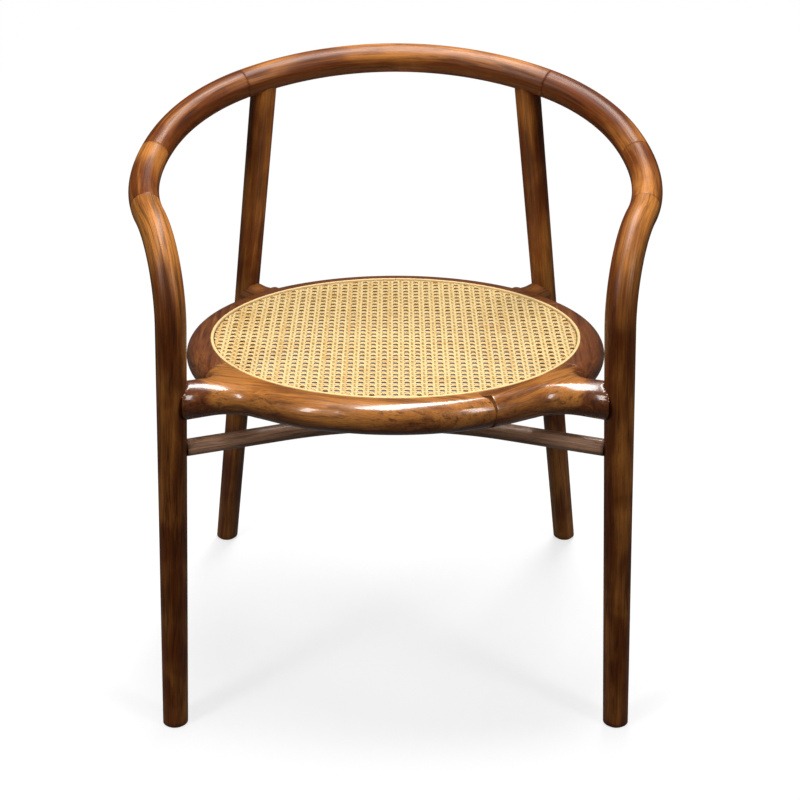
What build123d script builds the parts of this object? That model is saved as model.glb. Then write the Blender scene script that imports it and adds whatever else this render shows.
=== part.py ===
"""Horseshoe back armchair with a round woven cane seat.

One hoop of round wood is the back, the arms and the front legs.  Two straight rear legs stand
between the floor and the underside of the hoop.  A round seat frame hangs between the four
legs on lugs, and a bow stretcher ties the front legs under it.

Millimetres.  +Z is up, +X is the right side seen from the front, and the front of the chair
faces -Y.  The origin is on the floor, midway between the front of the seat frame and the back
of the rear feet.  Positions named *_back are measured backwards from the centre of the seat.
"""
from build123d import *
from math import acos, cos, degrees, hypot, radians, sin, sqrt
import os

# ---------------------------------------------------------------- driving dimensions
# seat
seat_centre_y = -29.2        # centre of the seat, from the origin
seat_height = 447.0          # top of the cane at the centre of the seat
seat_tilt = 6.0              # degrees, back edge lower
frame_inner_radius = 203.0   # inside wall of the seat frame, under the cane
frame_width = 41.5           # from that wall to the outermost point
frame_thickness = 37.6
frame_top_flat = 4.0         # level land beside the groove, before the frame rounds over
frame_crown = 0.6            # fall of that land
frame_widest_drop = 19.5     # depth of the outermost point of the frame below its top
frame_shoulder_balance = 1.5 # flatter top arc against the tighter arc of the nose
side_joint_angle = 29.0      # joints between side and front or rear pieces, from the X axis
front_joint_x = 91.0         # joint between the two front pieces
front_joint_step = 9.5       # its outer half lies this far further to the right

# cane sheet and its groove
lip_width = 9.8              # from the inside wall of the frame to the spline groove
groove_width = 3.4
groove_depth = 8.0
lip_drop = 2.2               # the cane lies on a lip this far below the top of the frame
spline_crown = 0.9           # the bead stands this far above the frame
spline_clearance = 0.05
strand_pitch = 12.7          # from one hole of the weave to the next
strand_width = 2.2
strand_half_gap = 2.35       # half the spacing of the two strands of a pair
strand_thickness = 0.45
layer_pitch = 0.5            # from one layer of strands to the next
cane_edge_width = 3.4        # pressed and glued edge of the sheet
cane_edge_clearance = 0.1
cane_edge_sides = 48         # the edge is cut in short straight snips

# hoop: crest rail, arms and the tops of the front legs
hoop_diameter = 34.0
hoop_apex_back = 207.0
hoop_apex_height = 717.0
hoop_slope = 17.7            # degrees, the plane of the back falls towards the arms
crest_radius = 328.0
crest_half_angle = 33.5      # degrees, half of the crest rail's arc
arm_radius = 217.5
arm_end_angle = 70.5         # degrees from the chair's centre line, where the arm levels out
bend_balance = 0.95          # length of the levelling arc against that of the leg's bend
elbow_start = 0.17           # share of the levelling arc where the arm ends and the elbow starts
elbow_end = 0.86             # share of it where the elbow ends and the leg starts

# front legs
front_leg_reach = 57.6       # from the edge of the seat frame to the axis, in the seat's plane
front_leg_angle = 35.87      # degrees from the X axis, in the seat's plane
front_leg_splay = 20.5       # the foot stands this far further out than the leg at the seat
front_leg_rake = 28.0        # and this far further back
front_leg_bend_height = 537.0
front_foot_diameter = 30.0

# rear legs
rear_foot_inset = 8.1        # from the outermost side of the seat frame in to the foot's axis
rear_foot_setback = 45.5     # from the back of the seat frame back to the foot's axis
rear_leg_top_angle = 28.4     # degrees from the chair's centre line
rear_leg_top_diameter = 30.5
rear_foot_diameter = 28.5
rear_tenon_diameter = 16.0
rear_tenon_length = 20.0     # into the hoop, from its underside

# lugs of the seat frame
front_lug_diameter = 44.4    # at the leg
front_lug_end_gap = 11.0     # from the end of the lug to the axis of the leg
front_lug_end_shift = 3.0     # the end lies this far behind the axis of the leg
front_lug_neck_height = 42.0
front_lug_neck_width = 47.0
front_lug_neck_length = 15.0 # from the neck to the end of the lug
front_lug_neck_shift = 11.0  # the neck lies this far behind the axis of the leg
front_lug_root_angle = 52.0  # where the lug grows out of the frame
front_lug_root_depth = 7.0   # its root lies this far inside the frame
front_lug_root_width = 42.0
front_lug_root_height = 27.0
front_lug_notch_angle = 30.0 # where its back edge leaves the frame
front_lug_notch_depth = 14.0
front_lug_waist_shift = 10.0 # front edge at the waist, ahead of the axis of the leg
front_lug_web_shift = 12.0   # front edge of the web, ahead of the axis of the leg
front_lug_web_inset = 7.5    # from the frame's edge back to the waist and the web
rear_lug_diameter = 28.0     # at the leg
rear_lug_neck = 9.0          # from the frame to where the flare ends
rear_lug_root_diameter = 35.0
rear_lug_root_depth = 8.0    # the flare starts this far inside the frame

# front stretcher
stretcher_height = 385.0
stretcher_diameter = 19.5
stretcher_bow = 86.0         # from the ends to the corner of the bow, before it is rounded
stretcher_radius = 380.0
stretcher_tenon_diameter = 15.0
stretcher_tenon_length = 12.0

# joinery
glue_line = 0.15             # room for glue round tenons, dowels and coped ends
dowel_diameter = 12.0
rail_dowel_length = 30.0
lug_dowel_length = 44.0
frame_tenon_length = 36.0
frame_tenon_width = 16.0
frame_tenon_thickness = 8.0

# glides
glide_thickness = 2.0
glide_inset = 2.5            # radius of the foot less radius of the glide
glide_pin_diameter = 3.0
glide_pin_length = 14.0

os.makedirs("parts", exist_ok=True)
SIDES = (("left", -1), ("right", 1))


def finish(part, label):
    """Name a finished piece and write it."""
    part.label = label
    export_step(part, f"parts/{label}.step")


# ---------------------------------------------------------------- frames and centre lines
seat_plane = Plane(
    origin=(0, seat_centre_y, seat_height),
    x_dir=(1, 0, 0),
    z_dir=(0, sin(radians(seat_tilt)), cos(radians(seat_tilt))),
)
hoop_plane = Plane(
    origin=(0, seat_centre_y + hoop_apex_back, hoop_apex_height),
    x_dir=(1, 0, 0),
    z_dir=(0, -sin(radians(hoop_slope)), cos(radians(hoop_slope))),
)
hoop_r = hoop_diameter / 2
frame_outer_radius = frame_inner_radius + frame_width
groove_radius = frame_inner_radius + lip_width
frame_mid = -frame_thickness / 2
frame_centre_radius = (frame_inner_radius + frame_outer_radius) / 2
front_joint_angle = degrees(acos(front_joint_x / frame_centre_radius))
front_step_angle = degrees(front_joint_step / frame_centre_radius)


def hoop_at(angle):
    """Point of the right half of the back, by its angle from the chair's centre line."""
    beta = radians(crest_half_angle)
    turn = radians(angle)
    if angle <= crest_half_angle:
        local = Vector(crest_radius * sin(turn), crest_radius * (cos(turn) - 1))
    else:
        centre = Vector(
            (crest_radius - arm_radius) * sin(beta),
            (crest_radius - arm_radius) * cos(beta) - crest_radius,
        )
        local = centre + Vector(sin(turn), cos(turn)) * arm_radius
    return hoop_plane.from_local_coords(local)


def hoop_direction(angle):
    """Direction of the hoop there, away from the crest."""
    turn = radians(angle)
    return hoop_plane.x_dir * cos(turn) - hoop_plane.y_dir * sin(turn)


def mirrored(vector, side):
    """The same point or direction on the left (side -1) or right (side 1)."""
    return Vector(vector.X * side, vector.Y, vector.Z)


def line_at_height(foot, top, height):
    """Point of a straight leg's axis at a height."""
    return foot + (top - foot) * ((height - foot.Z) / (top.Z - foot.Z))


# front leg, right side: foot, seat and the start of the bend are on one straight axis
front_cross = Vector(frame_outer_radius + front_leg_reach, 0, frame_mid).rotate(
    Axis.Z, -front_leg_angle
)
front_seat = seat_plane.from_local_coords(front_cross)
front_foot = Vector(front_seat.X + front_leg_splay, front_seat.Y + front_leg_rake, 0)
front_axis = (front_seat - front_foot).normalized()
bend_end = line_at_height(front_foot, front_seat, front_leg_bend_height)

def meeting_point(start, start_direction, end, end_direction, balance):
    """Point and direction where two arcs meet in a smooth curve from start to end (a biarc).

    The first arc's handle is balance times as long as the second's.
    """
    chord = end - start
    reach = start_direction * balance + end_direction
    quadratic = reach.dot(reach) - (1 + balance) ** 2
    linear = -2 * chord.dot(reach)
    root = sqrt(linear**2 - 4 * quadratic * chord.dot(chord))
    handle = (-linear - root) / (2 * quadratic)
    first = start + start_direction * (balance * handle)
    second = end - end_direction * handle
    return (first + second * balance) * (1 / (1 + balance)), (second - first).normalized()


# the arm levels out and turns down into the leg in two arcs
arm_end = hoop_at(arm_end_angle)
arm_direction = hoop_direction(arm_end_angle)
bend_start, bend_direction = meeting_point(
    arm_end, arm_direction, bend_end, front_axis * -1, bend_balance
)
with BuildLine() as levelling:
    TangentArc(arm_end, bend_start, tangent=arm_direction)

# joints of the right half of the hoop, and its direction at each, away from the crest
crest_joint = hoop_at(crest_half_angle)
crest_joint_direction = hoop_direction(crest_half_angle)
elbow_joint = levelling.line @ elbow_start
elbow_joint_direction = levelling.line % elbow_start
leg_joint = levelling.line @ elbow_end
leg_joint_direction = levelling.line % elbow_end

# rear leg, right side: its axis ends on the hoop's own centre line
rear_foot = Vector(
    frame_outer_radius - rear_foot_inset,
    seat_centre_y + frame_outer_radius + rear_foot_setback,
    0,
)
rear_top = hoop_at(rear_leg_top_angle)
rear_axis = (rear_top - rear_foot).normalized()


# ---------------------------------------------------------------- envelopes and dowels
def smooth_arc(start, end, direction, side):
    """Arc of the hoop's centre line that leaves its start along a direction."""
    TangentArc(mirrored(start, side), mirrored(end, side), tangent=mirrored(direction, side))


def square_to(point, direction, side):
    """Plane square to the hoop's centre line at one of its joints."""
    return Plane(origin=mirrored(point, side), z_dir=mirrored(direction, side))


def crest_ring(radius):
    """Ring whose upper stretch is the crest rail."""
    centre = hoop_plane.from_local_coords((0, -crest_radius, 0))
    with BuildPart(Plane(origin=centre, z_dir=hoop_plane.z_dir), mode=Mode.PRIVATE) as ring:
        Torus(crest_radius, radius)
    return ring.part


def leg_taper(foot, top, foot_radius, top_radius):
    """Straight tapered leg, run on below the floor so that it can be cut level."""
    axis = top - foot
    run_on = foot_radius
    with BuildPart(
        Plane(origin=foot - axis.normalized() * run_on, z_dir=axis), mode=Mode.PRIVATE
    ) as leg:
        Cone(
            foot_radius,
            top_radius,
            axis.length + run_on,
            align=(Align.CENTER, Align.CENTER, Align.MIN),
        )
    return leg.part


def front_leg_body(side, allowance=0.0):
    return leg_taper(
        mirrored(front_foot, side),
        mirrored(bend_end, side),
        front_foot_diameter / 2 + allowance,
        hoop_r + allowance,
    )


def rear_leg_body(side, allowance=0.0):
    return leg_taper(
        mirrored(rear_foot, side),
        mirrored(rear_top, side),
        rear_foot_diameter / 2 + allowance,
        rear_leg_top_diameter / 2 + allowance,
    )


def rod(diameter, start, end):
    """Straight round dowel, tenon or drilling."""
    with BuildPart(mode=Mode.PRIVATE) as pin:
        with BuildSketch(Plane(origin=start, z_dir=end - start)):
            Circle(diameter / 2)
        extrude(amount=(end - start).length)
    return pin.part


def rail_dowels(allowance=0.0):
    """Dowels in the six joints of the hoop, or their drillings."""
    reach = rail_dowel_length / 2 + allowance
    pins = []
    for _, side in SIDES:
        for point, direction in (
            (crest_joint, crest_joint_direction),
            (elbow_joint, elbow_joint_direction),
            (leg_joint, leg_joint_direction),
        ):
            middle = mirrored(point, side)
            half = mirrored(direction, side) * reach
            pins.append(rod(dowel_diameter + 2 * allowance, middle - half, middle + half))
    return pins


def rear_tenon(side, allowance=0.0):
    """Round tenon on top of a rear leg, or its mortise in the hoop."""
    top = mirrored(rear_top, side)
    axis = mirrored(rear_axis, side)
    return rod(
        rear_tenon_diameter + 2 * allowance,
        top - axis * (hoop_r + rear_tenon_diameter / 2),
        top + axis * (rear_tenon_length - hoop_r + allowance),
    )


# where the right rear leg's axis passes the middle of the seat frame, in the seat's own plane
rear_cross = line_at_height(
    seat_plane.to_local_coords(rear_foot), seat_plane.to_local_coords(rear_top), frame_mid
)


def lug_axis(side, rear):
    """End of a lug on the leg's axis, and the direction it points, away from the frame."""
    end = rear_cross if rear else front_cross
    heading = Vector(end.X, end.Y if rear else 0, 0).normalized()
    start = seat_plane.from_local_coords(end - heading)
    end = seat_plane.from_local_coords(end)
    return mirrored(end, side), mirrored((end - start).normalized(), side)


def lug_dowel(side, rear, allowance=0.0):
    """Dowel that runs from a lug past the axis of the leg, or its drilling."""
    end, direction = lug_axis(side, rear)
    tip = end + direction * (dowel_diameter / 2 + allowance)
    return rod(
        dowel_diameter + 2 * allowance,
        tip - direction * (lug_dowel_length + 2 * allowance),
        tip,
    )


def radial(angle):
    """Direction in the plane of the seat, by its angle from +X towards the back."""
    turn = radians(angle)
    return seat_plane.x_dir * cos(turn) + seat_plane.y_dir * sin(turn)


def frame_tenons(allowance=0.0):
    """Loose tenons in the five joints of the seat frame, or their mortises."""
    tongues = []
    centre_radius = (groove_radius + groove_width + frame_outer_radius) / 2 - frame_crown
    for angle in frame_joints:
        place = Plane(
            origin=seat_plane.origin + radial(angle) * centre_radius + seat_plane.z_dir * frame_mid,
            x_dir=radial(angle),
            z_dir=radial(angle + 90),
        )
        with BuildPart(place, mode=Mode.PRIVATE) as tongue:
            Box(
                frame_tenon_width + 2 * allowance,
                frame_tenon_thickness + 2 * allowance,
                frame_tenon_length + 2 * allowance,
            )
        tongues.append(tongue.part)
    return tongues


frame_joints = (
    side_joint_angle,
    180 - side_joint_angle,
    180 + side_joint_angle,
    front_step_angle / 2 - front_joint_angle,
    -side_joint_angle,
)


# stretcher, right end: on the axis of the front leg
stretcher_end = line_at_height(front_foot, front_seat, stretcher_height)
stretcher_corner = Vector(0, stretcher_end.Y + stretcher_bow, stretcher_height)


def stretcher_tenon(side, allowance=0.0):
    """Round tenon at an end of the stretcher, or its mortise in the front leg."""
    end = mirrored(stretcher_end, side)
    inwards = (stretcher_corner - end).normalized()
    surface = end + inwards * (hoop_r + front_foot_diameter / 2) / 2
    return rod(
        stretcher_tenon_diameter + 2 * allowance,
        surface + inwards * stretcher_tenon_diameter / 2,
        surface - inwards * (stretcher_tenon_length + allowance),
    )


def glide(side, foot, foot_diameter, allowance=0.0):
    """Round glide under a foot, with the pin that holds it, or their drilling."""
    centre = Vector(foot.X * side, foot.Y, 0)
    with BuildPart(mode=Mode.PRIVATE) as button:
        with BuildSketch(Plane.XY.offset(-allowance)):
            with Locations((centre.X, centre.Y)):
                Circle(foot_diameter / 2 - glide_inset)
        extrude(amount=glide_thickness + allowance)
        with BuildSketch(Plane.XY):
            with Locations((centre.X, centre.Y)):
                Circle(glide_pin_diameter / 2 + allowance)
        extrude(amount=glide_thickness + glide_pin_length + allowance)
    return button.part


# ---------------------------------------------------------------- hoop
with BuildPart() as crest_rail:
    with BuildLine():
        ThreePointArc(mirrored(crest_joint, -1), hoop_at(0), crest_joint)
    with BuildSketch(square_to(crest_joint, crest_joint_direction, -1)):
        Circle(hoop_r)
    sweep()
    for cutter in rail_dowels(glue_line) + [rear_tenon(side, glue_line) for _, side in SIDES]:
        add(cutter, mode=Mode.SUBTRACT)
finish(crest_rail.part, "crest_rail")

for name, side in SIDES:
    with BuildPart() as arm:
        with BuildLine():
            smooth_arc(crest_joint, arm_end, crest_joint_direction, side)
            smooth_arc(arm_end, elbow_joint, arm_direction, side)
        with BuildSketch(square_to(crest_joint, crest_joint_direction, side)):
            Circle(hoop_r)
        sweep()
        for cutter in rail_dowels(glue_line) + [rear_tenon(side, glue_line)]:
            add(cutter, mode=Mode.SUBTRACT)
    finish(arm.part, f"{name}_arm")

    with BuildPart() as elbow:
        with BuildLine():
            smooth_arc(elbow_joint, leg_joint, elbow_joint_direction, side)
        with BuildSketch(square_to(elbow_joint, elbow_joint_direction, side)):
            Circle(hoop_r)
        sweep()
        for cutter in rail_dowels(glue_line):
            add(cutter, mode=Mode.SUBTRACT)
    finish(elbow.part, f"{name}_elbow")

    # the bend and the straight leg are one piece
    with BuildPart() as front_leg:
        with BuildLine():
            smooth_arc(leg_joint, bend_start, leg_joint_direction, side)
            smooth_arc(bend_start, bend_end, bend_direction, side)
        with BuildSketch(square_to(leg_joint, leg_joint_direction, side)):
            Circle(hoop_r)
        sweep()
        add(front_leg_body(side))
        split(bisect_by=Plane.XY.offset(glide_thickness), keep=Keep.TOP)
        for cutter in rail_dowels(glue_line) + [
            lug_dowel(side, False, glue_line),
            stretcher_tenon(side, glue_line),
            glide(side, front_foot, front_foot_diameter, glue_line),
        ]:
            add(cutter, mode=Mode.SUBTRACT)
    finish(front_leg.part, f"{name}_front_leg")

    with BuildPart() as rear_leg:
        add(rear_leg_body(side))
        split(bisect_by=Plane.XY.offset(glide_thickness), keep=Keep.TOP)
        add(crest_ring(hoop_r + glue_line), mode=Mode.SUBTRACT)
        add(rear_tenon(side))
        add(lug_dowel(side, True, glue_line), mode=Mode.SUBTRACT)
        add(glide(side, rear_foot, rear_foot_diameter, glue_line), mode=Mode.SUBTRACT)
    finish(rear_leg.part, f"{name}_rear_leg")

# ---------------------------------------------------------------- seat frame
seat_axis = Axis(seat_plane.origin, seat_plane.z_dir)


def frame_plane(angle):
    """Plane through the seat's axis: local x runs outwards, local y up."""
    return Plane(
        origin=seat_plane.origin, x_dir=radial(angle), z_dir=radial(angle).cross(seat_plane.z_dir)
    )


def frame_arc(start, end):
    """Stretch of the seat frame between two angles: level land, bull nose, flat underside."""
    land_end = Vector(groove_radius + groove_width + frame_top_flat, -frame_crown)
    fall = Vector(frame_top_flat, -frame_crown).normalized()
    widest = Vector(frame_outer_radius, -frame_widest_drop)
    down = Vector(0, -1)
    shoulder, shoulder_fall = meeting_point(
        land_end, fall, widest, down, frame_shoulder_balance
    )
    nose_radius = frame_thickness - frame_widest_drop
    with BuildPart(mode=Mode.PRIVATE) as stretch:
        with BuildSketch(frame_plane(start)):
            with BuildLine():
                Polyline(
                    (frame_outer_radius - nose_radius, -frame_thickness),
                    (frame_inner_radius, -frame_thickness),
                    (frame_inner_radius, 0),
                    (groove_radius + groove_width, 0),
                    land_end,
                )
                TangentArc(land_end, shoulder, tangent=fall)
                TangentArc(shoulder, widest, tangent=shoulder_fall)
                TangentArc(
                    widest, (frame_outer_radius - nose_radius, -frame_thickness), tangent=down
                )
            make_face()
        revolve(axis=seat_axis, revolution_arc=end - start)
    return stretch.part


def seat_well():
    """Opening under the cane, the lip that the cane lies on and the groove for the bead."""
    with BuildPart(mode=Mode.PRIVATE) as well:
        with BuildSketch(frame_plane(0)):
            with BuildLine():
                Polyline(
                    (0, -2 * frame_thickness),
                    (frame_inner_radius, -2 * frame_thickness),
                    (frame_inner_radius, -lip_drop),
                    (groove_radius, -lip_drop),
                    (groove_radius, -groove_depth),
                    (groove_radius + groove_width, -groove_depth),
                    (groove_radius + groove_width, frame_thickness),
                    (0, frame_thickness),
                    close=True,
                )
            make_face()
        revolve(axis=seat_axis)
    return well.part


def front_joint_tongue():
    """Outer half of the front joint, which the left piece carries past the inner half."""
    middle = (groove_radius + groove_width + frame_outer_radius) / 2
    with BuildPart(mode=Mode.PRIVATE) as tongue:
        add(frame_arc(-front_joint_angle, front_step_angle - front_joint_angle))
        with BuildSketch(seat_plane.offset(-frame_thickness)):
            Circle(middle)
        extrude(amount=2 * frame_thickness, mode=Mode.SUBTRACT)
    return tongue.part


def front_lug(side):
    """Lug that flows out of the frame and swells to the inside of a front leg.

    Each station is an oval section square to X: its place, front edge, back edge and height.
    The last lies against the leg.  Behind, the lug stops at the joint with the side piece.
    """
    leg = front_cross
    root = radians(front_lug_root_angle)
    notch = radians(front_lug_notch_angle)
    waist = (root + notch) / 2
    end_x = leg.X - front_lug_end_gap
    neck = leg.Y + front_lug_neck_shift
    root_front = front_lug_root_depth - frame_outer_radius * sin(root)
    land = frame_thickness - 2 * frame_crown
    stations = (
        (
            frame_outer_radius * cos(root),
            root_front,
            root_front + front_lug_root_width,
            front_lug_root_height,
        ),
        (
            frame_outer_radius * cos(waist) - front_lug_web_inset,
            leg.Y - front_lug_waist_shift,
            -frame_inner_radius * sin(notch),
            land - 2 * frame_crown,
        ),
        (
            frame_outer_radius * cos(notch) - front_lug_web_inset,
            leg.Y - front_lug_web_shift,
            front_lug_notch_depth - frame_outer_radius * sin(notch),
            land,
        ),
        (
            end_x - front_lug_neck_length,
            neck - front_lug_neck_width / 2,
            neck + front_lug_neck_width / 2,
            front_lug_neck_height,
        ),
        (
            end_x,
            leg.Y + front_lug_end_shift - front_lug_diameter / 2,
            leg.Y + front_lug_end_shift + front_lug_diameter / 2,
            front_lug_diameter,
        ),
    )
    with BuildPart(mode=Mode.PRIVATE) as lug:
        for x, front, back, height in stations:
            place = Plane(
                origin=seat_plane.from_local_coords((x * side, (front + back) / 2, frame_mid)),
                x_dir=seat_plane.y_dir,
                z_dir=seat_plane.x_dir * side,
            )
            with BuildSketch(place):
                Ellipse((back - front) / 2, height / 2)
        loft()
        joint = Plane(
            origin=seat_plane.origin, z_dir=mirrored(radial(-side_joint_angle - 90), side)
        )
        split(bisect_by=joint, keep=Keep.TOP)
    return lug.part


def rear_lug(side):
    """Short round lug that flares out of the frame and points to a rear leg."""
    end, direction = lug_axis(side, True)
    reach = hypot(rear_cross.X, rear_cross.Y) - frame_outer_radius
    with BuildPart(mode=Mode.PRIVATE) as lug:
        for back_off, diameter in (
            (reach + rear_lug_root_depth, rear_lug_root_diameter),
            (reach - rear_lug_neck, rear_lug_diameter),
            (0, rear_lug_diameter),
        ):
            with BuildSketch(Plane(origin=end - direction * back_off, z_dir=direction)):
                Circle(diameter / 2)
        loft()
    return lug.part


frame_pieces = (
    ("seat_frame_right", -side_joint_angle, side_joint_angle, (), ()),
    ("seat_frame_rear", side_joint_angle, 180 - side_joint_angle, (), (-1, 1)),
    ("seat_frame_left", 180 - side_joint_angle, 180 + side_joint_angle, (), ()),
    ("seat_frame_front_left", 180 + side_joint_angle, 360 - front_joint_angle, (-1,), ()),
    ("seat_frame_front_right", -front_joint_angle, -side_joint_angle, (1,), ()),
)
for name, start, end, front_lugs, rear_lugs in frame_pieces:
    with BuildPart() as piece:
        add(frame_arc(start, end))
        if front_lugs:
            keep = Mode.ADD if start > 0 else Mode.SUBTRACT
            add(front_joint_tongue(), mode=keep)
        for side in front_lugs:
            add(front_lug(side))
            add(front_leg_body(side, glue_line), mode=Mode.SUBTRACT)
            add(lug_dowel(side, False, glue_line), mode=Mode.SUBTRACT)
        for side in rear_lugs:
            add(rear_lug(side))
            add(rear_leg_body(side, glue_line), mode=Mode.SUBTRACT)
            add(lug_dowel(side, True, glue_line), mode=Mode.SUBTRACT)
        add(seat_well(), mode=Mode.SUBTRACT)
        for tongue in frame_tenons(glue_line):
            add(tongue, mode=Mode.SUBTRACT)
    finish(piece.part, name)

# ---------------------------------------------------------------- cane seat
cane_edge = groove_radius - cane_edge_clearance
clear_radius = cane_edge - cane_edge_width


def strand_places(diagonal):
    """Offsets of the strands of one family from the middle of the seat."""
    if diagonal:
        pitch = strand_pitch / sqrt(2)
        offsets = (0.0,)
    else:
        pitch = strand_pitch
        offsets = (-strand_half_gap, strand_half_gap)
    count = int(cane_edge / pitch) + 1
    places = [
        (step + 0.5) * pitch + offset for step in range(-count, count) for offset in offsets
    ]
    return [place for place in places if abs(place) < clear_radius - strand_width]


cane_layers = (
    ("cane_side_strands", 90, False),
    ("cane_front_to_back_strands", 0, False),
    ("cane_left_diagonals", 45, True),
    ("cane_right_diagonals", -45, True),
)
for level, (name, angle, diagonal) in enumerate(cane_layers):
    layer_plane = seat_plane.offset(level * layer_pitch - lip_drop)
    with BuildPart() as layer:
        with BuildSketch(layer_plane):
            RegularPolygon(cane_edge, cane_edge_sides)
            RegularPolygon(clear_radius, cane_edge_sides, mode=Mode.SUBTRACT)
            with BuildSketch(Plane.XY, mode=Mode.PRIVATE) as strands:
                with Locations(*[(place, 0) for place in strand_places(diagonal)]):
                    Rectangle(strand_width, 2 * cane_edge)
                RegularPolygon(
                    cane_edge - cane_edge_width / 2, cane_edge_sides, mode=Mode.INTERSECT
                )
            add(strands.sketch, rotation=angle)
        extrude(amount=strand_thickness)
    finish(layer.part, name)

with BuildPart() as cane_spline:
    inner = groove_radius + spline_clearance
    outer = groove_radius + groove_width - spline_clearance
    with BuildSketch(frame_plane(0)):
        with BuildLine():
            Polyline(
                (inner, 0),
                (inner, spline_clearance - groove_depth),
                (outer, spline_clearance - groove_depth),
                (outer, 0),
            )
            ThreePointArc((inner, 0), ((inner + outer) / 2, spline_crown), (outer, 0))
        make_face()
    revolve(axis=seat_axis)
finish(cane_spline.part, "cane_spline")

# ---------------------------------------------------------------- stretcher
with BuildPart() as front_stretcher:
    with BuildLine():
        FilletPolyline(
            mirrored(stretcher_end, -1), stretcher_corner, stretcher_end, radius=stretcher_radius
        )
    with BuildSketch(
        Plane(
            origin=mirrored(stretcher_end, -1),
            z_dir=stretcher_corner - mirrored(stretcher_end, -1),
        )
    ):
        Circle(stretcher_diameter / 2)
    sweep()
    for _, side in SIDES:
        add(front_leg_body(side, glue_line), mode=Mode.SUBTRACT)
    for _, side in SIDES:
        add(stretcher_tenon(side))
finish(front_stretcher.part, "front_stretcher")

# ---------------------------------------------------------------- hidden dowels and tenons
with BuildPart() as rail_joint_dowels:
    for pin in rail_dowels():
        add(pin)
finish(rail_joint_dowels.part, "rail_joint_dowels")

with BuildPart() as front_lug_dowels:
    for _, side in SIDES:
        add(lug_dowel(side, False))
finish(front_lug_dowels.part, "front_lug_dowels")

with BuildPart() as rear_lug_dowels:
    for _, side in SIDES:
        add(lug_dowel(side, True))
finish(rear_lug_dowels.part, "rear_lug_dowels")

with BuildPart() as seat_frame_tenons:
    for tongue in frame_tenons():
        add(tongue)
finish(seat_frame_tenons.part, "seat_frame_tenons")

# ---------------------------------------------------------------- glides
with BuildPart() as foot_glides:
    for _, side in SIDES:
        add(glide(side, front_foot, front_foot_diameter))
        add(glide(side, rear_foot, rear_foot_diameter))
finish(foot_glides.part, "foot_glides")
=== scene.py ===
"""Dresses the horseshoe back armchair: lacquered wood, woven cane, reed bead and a plain stage.

Metres in the objects, millimetres in the sums.  +Z is up, +X is the right side seen from the
front, and the front of the chair faces -Y.  Angles of the seat are taken from +X towards the back.
"""
import math

import bpy
import numpy as np
from bpy.props import FloatProperty, FloatVectorProperty, IntProperty, PointerProperty
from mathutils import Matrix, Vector


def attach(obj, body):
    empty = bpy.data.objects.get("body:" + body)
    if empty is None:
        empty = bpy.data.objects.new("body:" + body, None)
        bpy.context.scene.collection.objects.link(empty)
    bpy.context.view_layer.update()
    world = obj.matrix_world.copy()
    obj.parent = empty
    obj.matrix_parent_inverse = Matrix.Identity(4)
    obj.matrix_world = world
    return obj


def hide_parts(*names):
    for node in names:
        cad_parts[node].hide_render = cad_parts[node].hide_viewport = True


bl_info = {
    "name": "Horseshoe Back Armchair",
    "version": (1, 0, 0),
    "blender": (4, 5, 0),
    "location": "View3D > Sidebar > Armchair",
    "description": "Dresses the horseshoe back armchair in lacquered wood and woven cane",
    "category": "Object",
}

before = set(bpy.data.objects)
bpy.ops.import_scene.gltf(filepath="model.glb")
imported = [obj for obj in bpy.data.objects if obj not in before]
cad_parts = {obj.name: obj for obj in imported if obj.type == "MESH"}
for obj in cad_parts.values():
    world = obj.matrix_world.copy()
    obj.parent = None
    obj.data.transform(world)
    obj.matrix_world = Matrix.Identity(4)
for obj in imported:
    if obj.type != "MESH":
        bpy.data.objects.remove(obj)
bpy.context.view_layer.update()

# ---------------------------------------------------------------- sizes of the chair, mm
MM = 0.001
SIDES = (("left", -1), ("right", 1))
SEAT_CENTRE_Y = -29.2
SEAT_HEIGHT = 447.0
SEAT_TILT = math.radians(6.0)
FRAME_INNER = 203.0
FRAME_OUTER = 244.5
FRAME_THICKNESS = 37.6
SIDE_JOINT = 29.0            # degrees
FRONT_JOINT = math.degrees(math.acos(91.0 / ((FRAME_INNER + FRAME_OUTER) / 2)))
FRONT_STEP = math.degrees(9.5 / ((FRAME_INNER + FRAME_OUTER) / 2))
GROOVE_RADIUS = 212.8
GROOVE_WIDTH = 3.4
LIP_DROP = 2.2
HOOP_RADIUS = 17.0
HOOP_ORIGIN = np.array([0.0, SEAT_CENTRE_Y + 207.0, 717.0])  # top of the back's middle line
HOOP_SLOPE = math.radians(17.7)
CREST_RADIUS = 328.0
CREST_HALF = 33.5            # degrees
ARM_RADIUS = 217.5
ARM_END = 70.5               # degrees
BEND_BALANCE = 0.95
ELBOW_START = 0.17           # shares of the arc that levels the arm out
ELBOW_END = 0.86
FRONT_LEG_RADIUS = 302.1     # where the front leg's axis passes the seat, in its own plane
FRONT_LEG_ANGLE = math.radians(-35.87)
FRONT_LEG_SPLAY = 20.5
FRONT_LEG_RAKE = 28.0
BEND_END_HEIGHT = 537.0
FRONT_FOOT_RADIUS = 15.0
REAR_FOOT = np.array([236.4, SEAT_CENTRE_Y + 290.0, 0.0])
REAR_TOP_ANGLE = 28.4
REAR_TOP_RADIUS = 15.25
REAR_FOOT_RADIUS = 14.25
GLIDE_HEIGHT = 2.0
FRAME_MID = -FRAME_THICKNESS / 2
STRETCHER_HEIGHT = 385.0
STRETCHER_RADIUS = 9.75
STRETCHER_BOW = 86.0
STRETCHER_BEND = 380.0
FIT = 0.1                    # daylight between a coped end and the round it meets
FOOT_HEIGHT = GLIDE_HEIGHT + FIT
COPE_SEARCH = 60.0           # the cope of a rear leg lies within this distance of its top
JOINT_LINE = 0.025           # half the open line between two pieces of the hoop
EDGE_SOFTNESS = 0.14         # radius that breaks the edge of a round stick's end
FRAME_JOINT_LINE = 0.02
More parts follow.
